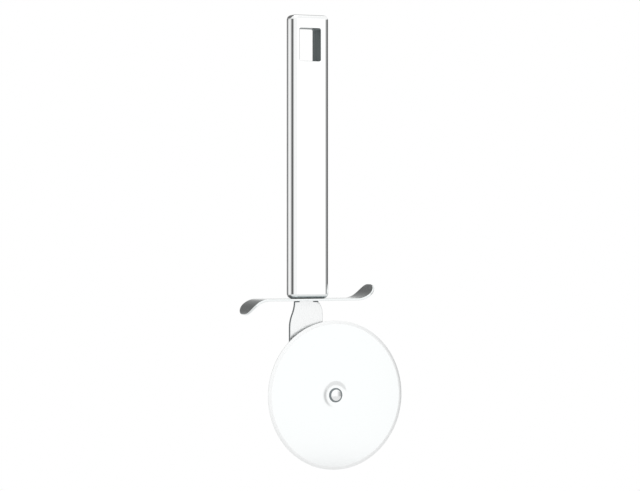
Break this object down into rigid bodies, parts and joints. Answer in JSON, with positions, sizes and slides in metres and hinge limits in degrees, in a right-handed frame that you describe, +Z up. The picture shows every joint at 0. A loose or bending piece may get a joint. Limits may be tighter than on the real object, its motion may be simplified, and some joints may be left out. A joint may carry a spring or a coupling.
{
  "type": "pizza cutter",
  "caption": "Stainless steel pizza cutter: a round blade turns on a one-sided arm below an S-bent finger guard and a flat bar handle with a hanging slot.",
  "frame": {"origin": "centre of the hanging slot, at the middle of the handle's depth", "axes": "+Z up along the handle, +X across its wide face towards the side that the blade is offset to, +Y to the back, away from the blade's front"},
  "size_m": [0.0798, 0.0146, 0.2067],
  "materials": {
    "polished_steel": "mirror-polished stainless steel, seams ground flush",
    "guard_steel": "polished stainless steel strip",
    "arm_steel": "fine satin stainless steel sheet",
    "blade_steel": "polished hardened stainless steel with a ground bevel",
    "rivet_steel": "polished stainless steel, headed cold",
    "sleeve_brass": "turned brass",
    "washer_steel": "stamped stainless steel",
    "handle_cement": "hard filled casting resin"
  },
  "bodies": {
    "handle": {"handle_tube": "polished_steel", "handle_top_cap": "polished_steel", "handle_bottom_cap": "polished_steel", "hang_slot_liner": "polished_steel", "tang_filler": "handle_cement", "finger_guard": "guard_steel", "carrier_arm": "arm_steel", "axle_rivet": "rivet_steel", "axle_sleeve": "sleeve_brass", "spacer_washer": "washer_steel", "rear_washer": "washer_steel"},
    "wheel": {"cutting_wheel": "blade_steel"}
  },
  "joints": [
    {"name": "wheel_spin", "type": "hinge", "parent": "handle", "child": "wheel", "pos_m": [0.0144, 0, -0.1591], "axis": [0, 1, 0], "continuous": true}
  ]
}
